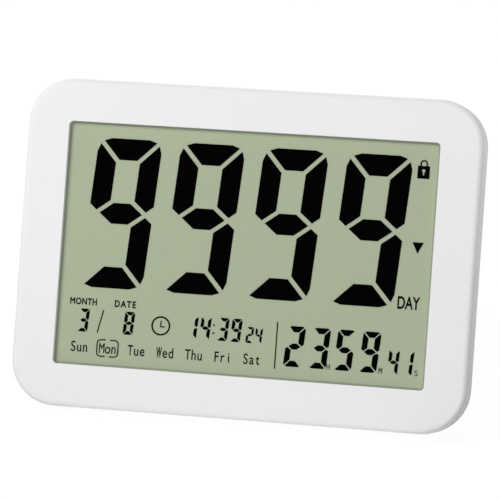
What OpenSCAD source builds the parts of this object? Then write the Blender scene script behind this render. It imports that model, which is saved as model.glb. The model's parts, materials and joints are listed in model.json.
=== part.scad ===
// Countdown timer: a desk clock in two case halves that leans back on a fold-out stand.
// It shows the days left in four large digits, with a calendar, a clock and a timer below them.
// Each piece is drawn facing the reader: x to the right, y up the face, depth measured back from the face.
// The module stand_up() then leans the whole clock back on its feet.

/* [Case] */
// Width of the case
case_w = 162; // [146:1:190]
// Height of the case, measured along its face
case_h = 115.6; // [105:0.2:140]
// Depth of the case from face to back
case_depth = 20.5; // [18.5:0.5:26]
// Radius of the four corners
corner_r = 16; // [12:0.5:20]
// Wall of both case halves
wall = 2; // [1.6:0.1:2.4]
// Depth of the front half
bezel_depth = 12; // [8:0.25:12.5]
// Rounding of the front rim
front_round = 2; // [1.5:0.1:3.2]
// Step from the front half in to the rear half
rear_step = 1.8; // [1:0.1:2.4]
// Rounding of the rear rim
rear_round = 3.6; // [2.4:0.1:4.2]
// Length of the rear half's lip inside the front half
lip_len = 3; // [2:0.25:4]
// Play round that lip
lip_play = 0.2; // [0.1:0.05:0.4]

/* [Display] */
// Border between the display window and the edge of the case
border = 15; // [14:0.5:16.5]
// Corner radius of the display window
window_r = 1.5; // [0.5:0.1:3]
// Overlap of the glass behind the edge of the window
glass_margin = 2; // [1.5:0.1:2.6]
// Contact ledge along the top of the front glass
ledge_h = 2.2; // [2:0.1:2.8]
// Thickness of one sheet of display glass
glass_t = 1.1; // [0.7:0.1:1.2]
// Thickness of the polarising film and of the reflecting film
film_t = 0.2; // [0.1:0.05:0.3]
// Thickness of the dark segments
segment_t = 0.1; // [0.05:0.05:0.2]
// Play round the glass
glass_play = 0.2; // [0.1:0.05:0.4]
// Ribs of the front half
rib_t = 1.2; // [0.8:0.1:1.6]
// Thickness of the plate that holds the glass
holder_t = 1.5; // [1.2:0.1:2]

/* [Digits] */
// Slant of every digit, in degrees
digit_slant = 4.2; // [0:0.2:8]
// Height of the large digits
day_h = 53; // [44:0.5:54]
// Width of the large digits
day_w = 23; // [18:0.2:24]
// Stroke of the large digits
day_stroke = 7.2; // [5:0.1:7.6]
// Height of the timer's digits
timer_h = 14.2; // [12:0.2:15]
// Width of the timer's digits
timer_w = 6.3; // [5:0.1:6.8]
// Stroke of the timer's digits
timer_stroke = 2; // [1.4:0.1:2.1]
// Height of the clock's and the calendar's digits
clock_h = 8.1; // [7:0.1:9]
// Width of the clock's and the calendar's digits
clock_w = 3.6; // [3:0.1:4]
// Stroke of the clock's and the calendar's digits
clock_stroke = 1.15; // [0.8:0.05:1.2]
// Thin lines of the signs
sign_line = 0.4; // [0.25:0.05:0.6]

/* [Stand] */
// Angle by which the clock leans back, in degrees
lean = 20; // [16:1:26]
// Height of the stand's hinge above the middle of the case
hinge_y = 8; // [4:0.5:12]
// Width of the stand's leg
stand_w = 34; // [28:1:36]
// Thickness of the stand's leg
stand_t = 4.2; // [3.8:0.1:4.6]
// Rounding of the leg's long edges
stand_round = 1; // [0.4:0.1:1.6]
// Play on each side of the leg in its recess
stand_play = 0.4; // [0.3:0.1:0.8]
// Depth of the folded leg below the back
stand_sink = 0.2; // [0:0.1:0.5]
// Distance from the folded leg's tip to the lower edge of the rear half
tip_margin = 1; // [0.8:0.1:2]
// Heel above the hinge that stops the leg when it is open
heel = 1.9; // [1.7:0.1:2.4]
// Gap left at that stop
stop_gap = 0.05; // [0.02:0.01:0.1]
// Diameter of the hinge pin
pin_d = 2; // [1.6:0.1:2.2]
// Radial play of the hinge pin
pin_play = 0.04; // [0.02:0.01:0.1]
// Height of the rubber boot on the leg
boot_h = 3; // [2.5:0.1:4]
// Height of the clock's lowest edge above the table
foot_drop = 0.6; // [0.4:0.1:1]
// Distance of each rubber foot's middle from the side of the case
foot_inset = 29; // [24:1:36]
// Length of each rubber foot along the case
foot_w = 16; // [10:1:24]
// Width of each rubber foot from front to back
foot_len = 3; // [2:0.25:4]
// Depth of the feet's pockets
foot_pocket = 1; // [0.6:0.1:1.2]
// Play round the glued rubber pieces
rubber_play = 0.05; // [0.02:0.01:0.1]

/* [Buttons] */
// Diameter of a button
button_d = 9; // [7:0.5:11]
// Distance between two buttons
button_pitch = 20; // [15:0.5:22]
// Height of the row of buttons above the middle of the case
button_y = 30; // [27:0.5:32]
// How far a button stands out of the back
button_proud = 0.8; // [0.6:0.1:1.5]
// Travel of a button
button_travel = 0.5; // [0.3:0.05:0.6]
// Radial play of a button in its hole
button_play = 0.25; // [0.15:0.05:0.4]
// Width of the flange that keeps a button in
button_flange = 1; // [0.6:0.1:1.5]
// Rounding of a button's edge
button_round = 0.5; // [0.2:0.1:0.8]
// Depth of the dish in a button's top
button_dish = 0.4; // [0.1:0.05:0.5]
// Side of a push switch
switch_side = 6; // [5:0.5:7]
// Height of a push switch
switch_h = 3.5; // [3:0.1:4]
// Diameter of a switch's plunger
plunger_d = 3.4; // [2.8:0.1:3.8]
// How far the plunger stands out of the switch
plunger_out = 1.7; // [1.2:0.1:2.5]

/* [Batteries] */
// Diameter of a cell
cell_d = 10.5; // [9.5:0.1:10.5]
// Length of a cell with its terminal
cell_len = 44.5; // [42:0.1:45]
// Play round a cell
cell_play = 0.2; // [0.1:0.05:0.2]
// Gap between the two cells
cell_gap = 0.8; // [0.6:0.1:1.4]
// Height of the middle of the battery bay, below zero for under the middle of the case
bay_y = -25; // [-27:0.5:-24]
// Wall of the battery bay
bay_wall = 2.4; // [2.2:0.1:2.6]
// Floor of the battery bay
bay_floor = 1; // [0.8:0.1:1.1]
// Thickness of the battery cover
cover_t = 1.6; // [1.4:0.1:1.6]
// Play round the battery cover
cover_play = 0.25; // [0.15:0.05:0.4]
// Tongue along each side of the battery cover
tongue = 0.7; // [0.5:0.05:0.8]
// Thickness of the contact plates
plate_t = 0.4; // [0.3:0.05:0.5]
// Length of a contact spring with the cell in place
spring_len = 4.4; // [3.8:0.1:5]
// Wire of a contact spring
spring_wire = 0.6; // [0.4:0.05:0.6]
// Turns of a contact spring
spring_turns = 3; // [2:1:3]
// Diameter of a battery lead or buzzer lead
lead_d = 1; // [0.7:0.1:1.2]

/* [Board] */
// Thickness of the circuit board
board_t = 1.6; // [1:0.1:1.6]
// Width of the circuit board
board_w = 132; // [128:1:134]
// Lower edge of the circuit board, below zero for under the middle of the case
board_low = -6; // [-8:0.5:-4]
// Diameter of the buzzer's disc
buzzer_d = 27; // [20:1:30]
// Distance of the buzzer to the left of the middle
buzzer_x = 50; // [42:1:52]

/* [Fasteners] */
// Radius of the screw bosses
boss_r = 2.5; // [2.2:0.1:2.8]
// Diameter of the case screws
screw_d = 2.5; // [2:0.1:2.6]
// Diameter of the screw heads
head_d = 4.4; // [4:0.1:4.6]
// Height of the screw heads
head_h = 1.6; // [1.2:0.1:1.8]
// Depth of the case screws' heads below the back
head_sink = 1.6; // [0.5:0.1:3]
// Diameter of the board screws
board_screw_d = 2; // [1.6:0.1:2.2]
// Radial play of the screws
screw_play = 0.03; // [0.02:0.01:0.1]
// Distance of the corner screws from the side of the case
corner_screw_inset = 15; // [13:0.5:18]
// Height of the screws at the sides above the middle
side_screw_y = 8; // [2:1:14]

/* [Wall hook] */
// Diameter of the keyhole, for the head of a wall screw
keyhole_d = 8; // [7:0.2:9]
// Width of the keyhole's slot, for the neck of a wall screw
keyslot_w = 4.2; // [3.6:0.2:5]
// Gap between the keyhole's pocket and the middle button
keyhole_gap = 0.5; // [0.3:0.1:1]
// Rise of the slot above the keyhole
keyslot_rise = 5.5; // [5:0.25:6.5]
// Depth of the pocket behind the keyhole
keyhole_pocket = 4; // [3:0.25:5]

/* [Hidden] */
$fn = 96;
BUTTON_NAMES = ["mode", "set", "up", "down", "lock"];
BUTTON_NODES = [for (n = BUTTON_NAMES) str("button_", n)];
PLUNGER_NODES = [for (n = BUTTON_NAMES) str("plunger_", n)];

// Cuts run past the surfaces that they open by this much
past = 1;

// Outlines of the two case halves
cavity_w = case_w - 2 * wall;
cavity_h = case_h - 2 * wall;
rear_w = case_w - 2 * rear_step;
rear_h = case_h - 2 * rear_step;
rear_r = corner_r - rear_step;
back_inside = case_depth - wall;

// Display window and the layers behind it, as depths from the face
window_w = case_w - 2 * border;
window_h = case_h - 2 * border;
glass_w = window_w + 2 * glass_margin;
rear_glass_h = window_h + 2 * glass_margin;
front_glass_h = rear_glass_h + ledge_h;
front_glass_d = wall + film_t;
rear_glass_d = front_glass_d + glass_t;
reflector_d = rear_glass_d + glass_t;
stack_d = reflector_d + film_t;
film_inset = 0.5;
foam_gap = 0.1;
holder_d = stack_d + foam_gap;
board_d = holder_d + holder_t;
board_back = board_d + board_t;

// Screw bosses stand just outside the glass
boss_gap = 0.1;
boss_x = glass_w / 2 + glass_play + boss_gap + boss_r;
boss_y = rear_glass_h / 2 + ledge_h + glass_play + boss_gap + boss_r;
case_points = concat(
    [for (sx = [-1, 1], sy = [-1, 1]) [sx * (case_w / 2 - corner_screw_inset), sy * boss_y]],
    [for (sx = [-1, 1]) [sx * boss_x, side_screw_y]]
);
board_post_inner = 20;
board_post_outer = 52;
board_points = [for (x = [board_post_inner, board_post_outer], sx = [-1, 1]) [sx * x, boss_y]];
holder_post_x = 25;
holder_points = [for (sx = [-1, 1]) [sx * holder_post_x, -boss_y]];
screw_land = 1.9;
plate_edge = board_screw_d / 2 + screw_land;
pilot_floor = 1.2;
thread_end = 1.6;
tube_wall = 0.9;
seat_d = case_depth - head_sink - head_h;
head_play = 0.3;
tube_r = head_d / 2 + head_play + tube_wall;
tube_gap = 0.1;
shank_room = 0.25;

// Lowest line of the leaning case, and the table under its feet
rear_low = -(rear_h / 2 - rear_round) * cos(lean) - (case_depth - rear_round) * sin(lean) - rear_round;
bezel_low = -case_h / 2 * cos(lean) - bezel_depth * sin(lean);
table = min(rear_low, bezel_low) - foot_drop;
foot_back = case_depth - rear_round;
foot_front = foot_back - foot_len;
foot_x = case_w / 2 - foot_inset;

// Stand: hinge, length, opening angle and recess
hinge_d = case_depth - stand_sink - stand_t / 2;
hinge_rise = hinge_y * cos(lean) - hinge_d * sin(lean) - table;
stand_len = hinge_y + rear_h / 2 - tip_margin;
tip_angle = acos(hinge_rise / stand_len);
open_angle = lean + tip_angle;
floor_gap = heel * sin(open_angle) + stand_t / 2 * (cos(open_angle) - 1) + stop_gap;
recess_w = stand_w + 2 * stand_play;
recess_d = case_depth - stand_sink - stand_t - floor_gap;
recess_play = 0.5;
recess_top = hinge_y + norm([heel, stand_t / 2]) + recess_play;
leg_end = stand_len - boot_h;
boot_slant = stand_t / 2 * tan(tip_angle);
boot_tongue_t = 1.6;
boot_tongue_h = 1.4;
boot_tongue_inset = 4;

// The whole clock stands centred over the middle of its footprint
front_reach = -(case_h / 2 - front_round) * sin(lean) + front_round * cos(lean) - front_round;
top_reach = (rear_h / 2 - rear_round) * sin(lean) + (case_depth - rear_round) * cos(lean) + rear_round;
foot_reach = hinge_y * sin(lean) + hinge_d * cos(lean)
    + (stand_len + boot_slant) * sin(tip_angle) + stand_t / 2 * cos(tip_angle);
stand_shift = -(front_reach + max(top_reach, foot_reach)) / 2;

// Battery bay, to the right of the stand
cell_pitch = cell_d + cell_gap;
cell_y = [bay_y + cell_pitch / 2, bay_y - cell_pitch / 2];
bay_h = 2 * cell_d + cell_gap + 2 * cell_play;
dimple_h = 0.3;
dimple_r = 1.6;
cell_slack = 0.05;
bay_len = cell_len + spring_len + 2 * plate_t + dimple_h + 2 * cell_slack;
bay_sunk = 0.2;
bay_x1 = rear_w / 2 - wall - bay_wall + bay_sunk;
bay_x0 = bay_x1 - bay_len;
bay_d = case_depth - cover_t - cell_d - 2 * cell_play;
cell_depth = bay_d + cell_play + cell_d / 2;
cover_x0 = bay_x0 - bay_wall / 2;
cover_h = bay_h + bay_wall;
cover_d = case_depth - cover_t;
cover_lip_d = case_depth - rear_round;
cover_lip_x = rear_w / 2 - wall;
cover_seat = 0.1;
tail_w = 2.4;
tail_x = bay_x0 - bay_wall - lead_d;
tail_share = [0.2, -0.25];
tail_depth = [for (share = tail_share) cell_depth + share * cell_d];
tail_room = 0.2;
plate_inset = 1;
plate_side = cell_d - 2 * plate_inset;
nub_r = 1.9;
nub_h = 1;
bay_room = 0.3;

// The stand is in the middle, or as far left of it as the leads beside the bay need
lead_room = 0.4;
stand_x = min(0, tail_x - lead_d / 2 - lead_room - wall - recess_w / 2);

// Buttons and the push switches under them
last_button = len(BUTTON_NAMES) - 1;
button_x = [for (i = [0 : last_button]) (i - last_button / 2) * button_pitch];
switch_top = board_back + switch_h;
plunger_top = switch_top + plunger_out;
plunger_play = 0.1;
plunger_deep = 0.9;
flange_gap = 0.1;
flange_t = 1;
flange_d = back_inside - flange_gap - flange_t;
stem_r = 2;

// Keyhole above the middle button
keyhole_side = keyhole_d + 2 * wall;
keyhole_y = button_y + button_d / 2 + button_flange + keyhole_gap + keyhole_side / 2;

// Buzzer on the inside of the back
buzzer_y = bay_y;
buzzer_ring = 1.4;
buzzer_lip = 1.5;
disc_t = 0.25;
ceramic_t = 0.25;
ceramic_share = 0.74;
buzzer_rise = 1;
disc_d = back_inside - buzzer_rise - disc_t;
sound_hole_d = 1.8;
sound_ring_r = 5;

// Lower rows of the display, drawn from its lower left corner: calendar, clock, divider and timer
month_left = 7.65;
date_left = 24.05;
calendar_base = 11.85;
clock_left = 46.85;
clock_base = 12.1;
clock_pitch = 4.66;
colon_room = 1.7;
day24_share = 0.69;
day24_gap = 0.9;
day24_left = clock_left + 4 * clock_pitch + colon_room + day24_gap;
day24_pitch = 3.15;
divider_gap = 4.5;
divider_left = day24_left + 2 * day24_pitch + divider_gap;
timer_gap = 3.05;
timer_left = divider_left + timer_gap;
timer_base = 4.9;
timer_pitch = 8.85;
seconds_share = 0.62;
seconds_narrow = 0.94;
seconds_w = timer_w * seconds_share * seconds_narrow;
seconds_h = timer_h * seconds_share;
seconds_stroke = timer_stroke * seconds_share * seconds_narrow;
seconds_gap = 1.05;
seconds_left = timer_left + 4 * timer_pitch + seconds_gap;
seconds_pitch = 5.03;
seconds_drop = 0.25;
right_margin = 3.54;

// Large digits fill the display's width up to the column of signs at the right
art_w = seconds_left + 2 * seconds_pitch + right_margin;
day_left = 6.95;
sign_column = 9.15;
day_digits = 4;
day_pitch = (art_w - day_left - sign_column - day_w - day_h * tan(digit_slant)) / (day_digits - 1);
day_base = 27.75;
day_top = 5.25;
art_h = day_base + day_h + day_top;

// The drawing fills the window
art_scale = [window_w / art_w, window_h / art_h];

// Lit segments of the digits 0 to 9, and the shape of a segment as shares of its stroke
LIT = ["abcdef", "bc", "abged", "abgcd", "fgbc", "afgcd", "afgedc", "abc", "abcdefg", "abcdfg"];
mitre_gap = 0.15;
corner_cut = 0.65;
tip_cut = 0.13;
waist_outer = 0.42;
waist_tip = 0.36;
waist_inner = 0.64;
bar_thick = 1.045;
bar_tip = 0.53;
bar_shoulder = 1.18;
bar_half = 0.51;

// Leans the clock back and sets it on the table, centred over its footprint
module stand_up() {
    translate([0, stand_shift, -table])
        rotate([90 - lean, 0, 0])
            children();
}

// Extrudes an outline between two depths behind the face
module between(d0, d1) {
    translate([0, 0, -d1])
        linear_extrude(height = d1 - d0)
            children();
}

// Extrudes an outline of height and depth along x, centred
module along_x(length) {
    rotate([90, 0, 90])
        linear_extrude(height = length, center = true)
            children();
}

module quarter_disc(r) {
    intersection() {
        circle(r = r);
        square(r);
    }
}

module rounded_rect(w, h, r) {
    square([w - 2 * r, h], center = true);
    square([w, h - 2 * r], center = true);
    for (i = [0 : 3])
        rotate(i * 90)
            translate(i % 2 == 0 ? [w / 2 - r, h / 2 - r] : [h / 2 - r, w / 2 - r])
                quarter_disc(r);
}

// Half section of a rim with one rounded edge
module rim_profile(r, height, edge) {
    square([r - edge, height]);
    square([r, height - edge]);
    translate([r - edge, height - edge])
        quarter_disc(edge);
}

// Plate with round corners and a rounded upper rim
module soft_slab(w, h, r, height, edge) {
    core = [w - 2 * r, h - 2 * r];
    translate([-core.x / 2, -core.y / 2, 0])
        cube([core.x, core.y, height]);
    for (i = [0 : 3]) {
        reach = (i % 2 == 0 ? core.x : core.y) / 2;
        side = i % 2 == 0 ? core.y : core.x;
        rotate(i * 90)
            translate([reach, side / 2, 0]) {
                rotate([90, 0, 0])
                    linear_extrude(height = side)
                        rim_profile(r, height, edge);
                rotate_extrude(angle = 90)
                    rim_profile(r, height, edge);
            }
    }
}

// Round rod from one point to another
module rod(a, b, r) {
    v = b - a;
    translate(a)
        rotate([0, acos(v.z / norm(v)), atan2(v.y, v.x)])
            cylinder(r = r, h = norm(v));
}

// Wire bent at each of its inner points, given as x, y and depth
module lead(route) {
    knuckle = 1.08;
    points = [for (p = route) [p.x, p.y, -p.z]];
    for (i = [0 : len(points) - 2])
        rod(points[i], points[i + 1], lead_d / 2);
    for (i = [1 : len(points) - 2])
        translate(points[i])
            sphere(r = lead_d / 2 * knuckle);
}

// Screw with a cross in its head, driven in from the back
module screw(p, d, seat, tip) {
    cross_w = 0.6;
    cross_share = 0.6;
    cross_len = head_d * cross_share;
    cross_deep = 0.8;
    translate([p.x, p.y, 0]) {
        between(tip, seat)
            circle(d = d);
        difference() {
            between(seat, seat + head_h)
                circle(d = head_d);
            for (a = [0, 90])
                between(seat + head_h - cross_deep, seat + head_h + past)
                    rotate(a)
                        square([cross_w, cross_len], center = true);
        }
    }
}

// Corners of one segment, drawn on an upright digit of width w, height h and stroke t
function mirror_x(points, w) = [for (p = points) [w - p.x, p.y]];
function mirror_y(points, h) = [for (p = points) [p.x, h - p.y]];
function top_bar(w, h, t) = [
    [(mitre_gap + tip_cut) * t, h - tip_cut * t], [corner_cut * t, h],
    [w - corner_cut * t, h], [w - (mitre_gap + tip_cut) * t, h - tip_cut * t],
    [w - (1 + mitre_gap) * t, h - bar_thick * t], [(1 + mitre_gap) * t, h - bar_thick * t]
];
function upper_left(h, t) = [
    [tip_cut * t, h - (mitre_gap + tip_cut) * t], [0, h - corner_cut * t],
    [0, h / 2 + waist_outer * t], [waist_tip * t, h / 2 + tip_cut * t],
    [t, h / 2 + waist_inner * t], [t, h - (bar_thick + mitre_gap) * t]
];
function middle_bar(w, h, t) = [
    [bar_tip * t, h / 2],
    [bar_shoulder * t, h / 2 + bar_half * t], [w - bar_shoulder * t, h / 2 + bar_half * t],
    [w - bar_tip * t, h / 2],
    [w - bar_shoulder * t, h / 2 - bar_half * t], [bar_shoulder * t, h / 2 - bar_half * t]
];
function segment_points(s, w, h, t) =
    s == "a" ? top_bar(w, h, t) :
    s == "d" ? mirror_y(top_bar(w, h, t), h) :
    s == "f" ? upper_left(h, t) :
    s == "b" ? mirror_x(upper_left(h, t), w) :
    s == "e" ? mirror_y(upper_left(h, t), h) :
    s == "c" ? mirror_y(mirror_x(upper_left(h, t), w), h) :
    middle_bar(w, h, t);

// One slanted digit with its lower left corner at the origin
module digit(n, w, h, t) {
    for (s = LIT[n])
        polygon([for (p = segment_points(s, w, h, t)) [p.x + p.y * tan(digit_slant), p.y]]);
}

// Film of dark segments on the front of the display, drawn from the window's lower left corner
module segment_film() {
    color("black")
        stand_up()
            between(wall - segment_t, wall)
                translate([-window_w / 2, -window_h / 2])
                    scale(art_scale)
                        children();
}

// Front half of the case, with the window, the fence round the glass and the screw bosses
module front_bezel() {
    color("whitesmoke")
        stand_up()
            difference() {
                union() {
                    difference() {
                        translate([0, 0, -bezel_depth])
                            soft_slab(case_w, case_h, corner_r, bezel_depth, front_round);
                        between(wall, bezel_depth + past)
                            rounded_rect(cavity_w, cavity_h, corner_r - wall);
                    }
                    between(wall / 2, stack_d)
                        translate([0, ledge_h / 2])
                            glass_fence();
                    for (p = case_points)
                        between(wall / 2, bezel_depth)
                            translate(p)
                                circle(r = boss_r);
                    for (p = concat(board_points, holder_points))
                        between(wall / 2, holder_d)
                            translate(p)
                                circle(r = boss_r);
                }
                between(-past, wall + past)
                    rounded_rect(window_w, window_h, window_r);
                for (p = case_points)
                    between(pilot_floor, bezel_depth + past)
                        translate(p)
                            circle(d = screw_d + 2 * screw_play);
                for (p = concat(board_points, holder_points))
                    between(pilot_floor, holder_d + past)
                        translate(p)
                            circle(d = board_screw_d + 2 * screw_play);
            }
}

module glass_fence() {
    inner = [glass_w + 2 * glass_play, front_glass_h + 2 * glass_play];
    difference() {
        square([inner.x + 2 * rib_t, inner.y + 2 * rib_t], center = true);
        square(inner, center = true);
    }
}

// Outer form of the rear half, rounded at the back
module rear_form() {
    translate([0, 0, -bezel_depth])
        rotate([180, 0, 0])
            soft_slab(rear_w, rear_h, rear_r, case_depth - bezel_depth, rear_round);
}

// Rear half of the case: lip, screw tubes, stand recess, battery bay, buzzer seat and wall hook
module rear_cover() {
    color("whitesmoke")
        stand_up()
            difference() {
                union() {
                    rear_shell();
                    bay_box();
                    buzzer_seat();
                    intersection() {
                        rear_form();
                        union() {
                            recess_box();
                            keyhole_box();
                            for (p = case_points)
                                between(bezel_depth + tube_gap, back_inside + wall / 2)
                                    translate(p)
                                        circle(r = tube_r);
                        }
                    }
                }
                recess_cut();
                bay_cut();
                keyhole_cut();
                for (p = case_points)
                    translate(p)
                        screw_hole();
                for (x = button_x)
                    between(back_inside - past, case_depth + past)
                        translate([x, button_y])
                            circle(d = button_d + 2 * button_play);
                sound_holes();
                for (sx = [-1, 1])
                    translate([sx * foot_x, 0, 0])
                        foot_pocket_cut();
            }
}

module rear_shell() {
    difference() {
        union() {
            rear_form();
            between(bezel_depth - lip_len, bezel_depth + wall)
                rounded_rect(cavity_w - 2 * lip_play, cavity_h - 2 * lip_play, corner_r - wall - lip_play);
        }
        between(bezel_depth - lip_len - past, back_inside)
            rounded_rect(rear_w - 2 * wall, rear_h - 2 * wall, rear_r - wall);
    }
}

module recess_box() {
    low = -rear_h / 2 + wall / 2;
    high = recess_top + wall;
    between(recess_d - wall, back_inside + wall / 2)
        translate([stand_x - recess_w / 2 - wall, low])
            square([recess_w + 2 * wall, high - low]);
}

module recess_cut() {
    low = -rear_h / 2 - past;
    between(recess_d, case_depth + past)
        translate([stand_x - recess_w / 2, low])
            square([recess_w, recess_top - low]);
    translate([stand_x, hinge_y, -hinge_d])
        rotate([0, 90, 0])
            cylinder(d = pin_d + 2 * pin_play, h = recess_w + 2 * wall + 2 * past, center = true);
}

// Outside of the battery bay, with room round it where another piece has to clear it
module bay_box(room = 0) {
    out = bay_wall + room;
    between(bay_d - bay_floor - room, back_inside + wall / 2)
        translate([bay_x0 - out, bay_y - bay_h / 2 - out])
            square([bay_len + 2 * out, bay_h + 2 * out]);
}

// Hollow of the bay, slots for the contact tails, and the opening and grooves of the cover
module bay_cut() {
    far = case_w;
    between(bay_d, case_depth + past)
        translate([bay_x0, bay_y - bay_h / 2])
            square([bay_len, bay_h]);
    between(cover_d - cover_seat, case_depth + past)
        translate([cover_x0 - cover_play, bay_y - cover_h / 2 - cover_play])
            square([far, cover_h + 2 * cover_play]);
    between(cover_lip_d - cover_play, case_depth + past)
        translate([cover_lip_x - cover_play, bay_y - cover_h / 2 - cover_play])
            square([far, cover_h + 2 * cover_play]);
    between(cover_d - cover_seat, cover_d + tongue + cover_play)
        translate([cover_x0 - cover_play, bay_y - cover_h / 2 - tongue - cover_play])
            square([far, cover_h + 2 * tongue + 2 * cover_play]);
    for (i = [0, 1])
        between(tail_depth[i] - plate_t / 2 - tail_room, tail_depth[i] + plate_t / 2 + tail_room)
            translate([bay_x0 - bay_wall - past, cell_y[i] - tail_w / 2 - tail_room])
                square([bay_wall + 2 * past, tail_w + 2 * tail_room]);
}

module buzzer_seat() {
    translate([-buzzer_x, buzzer_y, 0]) {
        between(disc_d - disc_t, back_inside + wall / 2)
            ring(buzzer_d / 2 + glass_play + buzzer_ring, buzzer_d / 2 + glass_play);
        between(disc_d + disc_t, back_inside + wall / 2)
            ring(buzzer_d / 2 + glass_play + buzzer_ring / 2, buzzer_d / 2 - buzzer_lip);
    }
}

module ring(outer, inner) {
    difference() {
        circle(r = outer);
        circle(r = inner);
    }
}

module sound_holes() {
    spots = concat([[0, 0]], [for (a = [0 : 60 : 300]) sound_ring_r * [cos(a), sin(a)]]);
    between(back_inside - past, case_depth + past)
        translate([-buzzer_x, buzzer_y])
            for (s = spots)
                translate(s)
                    circle(d = sound_hole_d);
}

module keyhole_box() {
    between(back_inside - keyhole_pocket - rib_t, back_inside + wall / 2)
        translate([-keyhole_side / 2, keyhole_y - keyhole_side / 2])
            square([keyhole_side, keyslot_rise + keyhole_side]);
}

// Keyhole through the back, and the pocket behind it for the head of the screw
module keyhole_cut() {
    between(back_inside - keyhole_pocket, back_inside)
        translate([-keyhole_d / 2, keyhole_y - keyhole_d / 2])
            square([keyhole_d, keyslot_rise + keyhole_d]);
    translate([0, keyhole_y, -case_depth - past])
        cylinder(d = keyhole_d, h = wall + 2 * past);
    between(back_inside - past, case_depth + past)
        translate([-keyslot_w / 2, keyhole_y])
            square([keyslot_w, keyslot_rise]);
    translate([0, keyhole_y + keyslot_rise, -case_depth - past])
        cylinder(d = keyslot_w, h = wall + 2 * past);
}

module screw_hole() {
    between(bezel_depth - past, case_depth + past)
        circle(r = screw_d / 2 + shank_room);
    between(seat_d, case_depth + past)
        circle(r = head_d / 2 + head_play);
}

// Pocket in the underside, in which a foot is glued
module foot_pocket_cut() {
    along_x(foot_w + 2 * rubber_play)
        translate([-rear_h / 2 - past, -foot_back - rubber_play])
            square([foot_pocket + past, foot_len + 2 * rubber_play]);
}

// Rubber feet: each fills its pocket and ends flat on the table
module case_feet() {
    top = -rear_h / 2 + foot_pocket;
    function table_y(d) = (table + d * sin(lean)) / cos(lean);
    color("dimgray")
        stand_up()
            for (sx = [-1, 1])
                translate([sx * foot_x, 0, 0])
                    along_x(foot_w)
                        polygon([
                            [top, -foot_front], [top, -foot_back],
                            [table_y(foot_back), -foot_back], [table_y(foot_front), -foot_front]
                        ]);
}

// Grooves that give a thumb its grip on the battery cover
grips = 4;
grip_w = 0.8;
grip_deep = 0.5;
grip_pitch = 2.2;
grip_share = 0.6;
grip_len = cover_h * grip_share;
grip_inset = 4;
grip_x = cover_lip_x - grip_inset;

// Battery cover, which slides off over the side of the case on a tongue along each edge
module battery_cover() {
    color("whitesmoke")
        stand_up() {
            difference() {
                intersection() {
                    rear_form();
                    union() {
                        between(cover_d, case_depth + past)
                            translate([cover_x0, bay_y - cover_h / 2])
                                square([case_w, cover_h]);
                        between(cover_lip_d, case_depth + past)
                            translate([cover_lip_x, bay_y - cover_h / 2])
                                square([case_w, cover_h]);
                    }
                }
                for (i = [0 : grips - 1])
                    between(case_depth - grip_deep, case_depth + past)
                        translate([grip_x - i * grip_pitch, bay_y])
                            square([grip_w, grip_len], center = true);
            }
            for (sy = [-1, 1])
                between(cover_d, cover_d + tongue)
                    translate([cover_x0, bay_y + (sy - 1) / 2 * tongue + sy * cover_h / 2])
                        square([bay_len, tongue]);
        }
}

// Places a piece of the stand at the hinge, with the leg open
module at_hinge() {
    stand_up()
        translate([stand_x, hinge_y, -hinge_d])
            rotate([open_angle, 0, 0])
                children();
}

// Bar with the leg's rounded section, down from the hinge between two distances
module leg_bar(from, to) {
    translate([0, -from, 0])
        rotate([90, 0, 0])
            linear_extrude(height = to - from)
                rounded_rect(stand_w, stand_t, stand_round);
}

// Leg of the stand, drawn folded: down from the hinge, with its outer side towards the back
module stand_leg() {
    panel_rim = 4;
    panel_deep = 0.8;
    panel_len = leg_end - 2 * panel_rim - stand_t;
    color("whitesmoke")
        at_hinge()
            difference() {
                union() {
                    leg_bar(0, leg_end);
                    along_x(stand_w) {
                        translate([-stand_t / 2, -stand_t / 2])
                            square([stand_t / 2, stand_t]);
                        square([heel, stand_t / 2]);
                        rotate(-90)
                            quarter_disc(stand_t / 2);
                    }
                    along_x(stand_w - 2 * boot_tongue_inset)
                        translate([-leg_end - boot_tongue_h, -boot_tongue_t / 2])
                            square([boot_tongue_h + past, boot_tongue_t]);
                }
                rotate([0, 90, 0])
                    cylinder(d = pin_d + 2 * pin_play, h = stand_w + 2 * past, center = true);
                translate([0, -leg_end + panel_rim + panel_len / 2, -stand_t / 2 - past])
                    linear_extrude(height = panel_deep + past)
                        rounded_rect(stand_w - 2 * panel_rim, panel_len, panel_rim);
            }
}

// Hinge pin, held in the side walls of the recess
module stand_pin() {
    color("silver")
        stand_up()
            translate([stand_x, hinge_y, -hinge_d])
                rotate([0, 90, 0])
                    cylinder(d = pin_d, h = recess_w + 2 * wall, center = true);
}

// Rubber boot on the leg's tongue, cut flat to the table
module stand_foot() {
    color("dimgray")
        at_hinge()
            difference() {
                intersection() {
                    leg_bar(leg_end, stand_len + boot_slant);
                    along_x(stand_w)
                        polygon([
                            [-leg_end, stand_t / 2], [-leg_end, -stand_t / 2],
                            [-stand_len - boot_slant, -stand_t / 2], [-stand_len + boot_slant, stand_t / 2]
                        ]);
                }
                along_x(stand_w - 2 * boot_tongue_inset + 2 * rubber_play)
                    translate([-leg_end - boot_tongue_h - rubber_play, -boot_tongue_t / 2 - rubber_play])
                        square([boot_tongue_h + rubber_play + past, boot_tongue_t + 2 * rubber_play]);
            }
}

module lcd_front_polarizer() {
    color("darkseagreen")
        stand_up()
            between(wall, front_glass_d)
                square([glass_w - 2 * film_inset, rear_glass_h - 2 * film_inset], center = true);
}

// Front glass, with its contact ledge above the rear glass
module lcd_front_glass() {
    color("lightcyan")
        stand_up()
            between(front_glass_d, rear_glass_d)
                translate([0, ledge_h / 2])
                    square([glass_w, front_glass_h], center = true);
}

module lcd_rear_glass() {
    color("lightcyan")
        stand_up()
            between(rear_glass_d, reflector_d)
                square([glass_w, rear_glass_h], center = true);
}

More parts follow.
